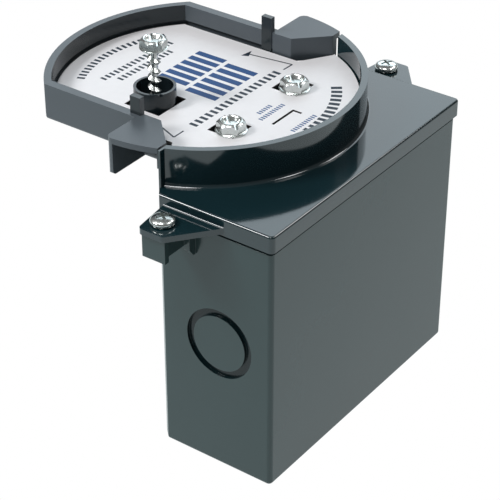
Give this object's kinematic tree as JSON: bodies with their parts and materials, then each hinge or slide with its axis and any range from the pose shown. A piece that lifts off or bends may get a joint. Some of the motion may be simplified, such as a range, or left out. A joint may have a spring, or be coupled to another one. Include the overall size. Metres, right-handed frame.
{
  "type": "electrical mounting box",
  "caption": "Fixture mounting box for a ceiling joist: a deep wiring tub with a lidded round rim beside the joist, a shallow tray under it and a thin cover.",
  "frame": {"origin": "corner where the joist's bottom edge meets the box: the middle of the edge between the tub's joist side (x = 0) and the tray's underside (z = 0)", "axes": "+X from the joist into the wiring tub; +Y along the joist; +Z out of the rim, so down into the room once the box is on the joist"},
  "size_m": [0.117, 0.136, 0.1235],
  "materials": {
    "tub_plastic": "moulded, slightly glossy",
    "lid_plastic": "polished mould, glossy",
    "tray_plastic": "satin",
    "cover_sheet": "smooth printed sheet",
    "zinc": "bright zinc plate"
  },
  "bodies": {
    "root": {"tub": "tub_plastic", "collar_lid": "lid_plastic", "joist_tray": "tray_plastic", "mud_cover": "cover_sheet", "joist_screw": "zinc", "front_tray_screw": "zinc", "rear_tray_screw": "zinc", "front_lid_screw": "zinc", "rear_lid_screw": "zinc"}
  },
  "joints": []
}
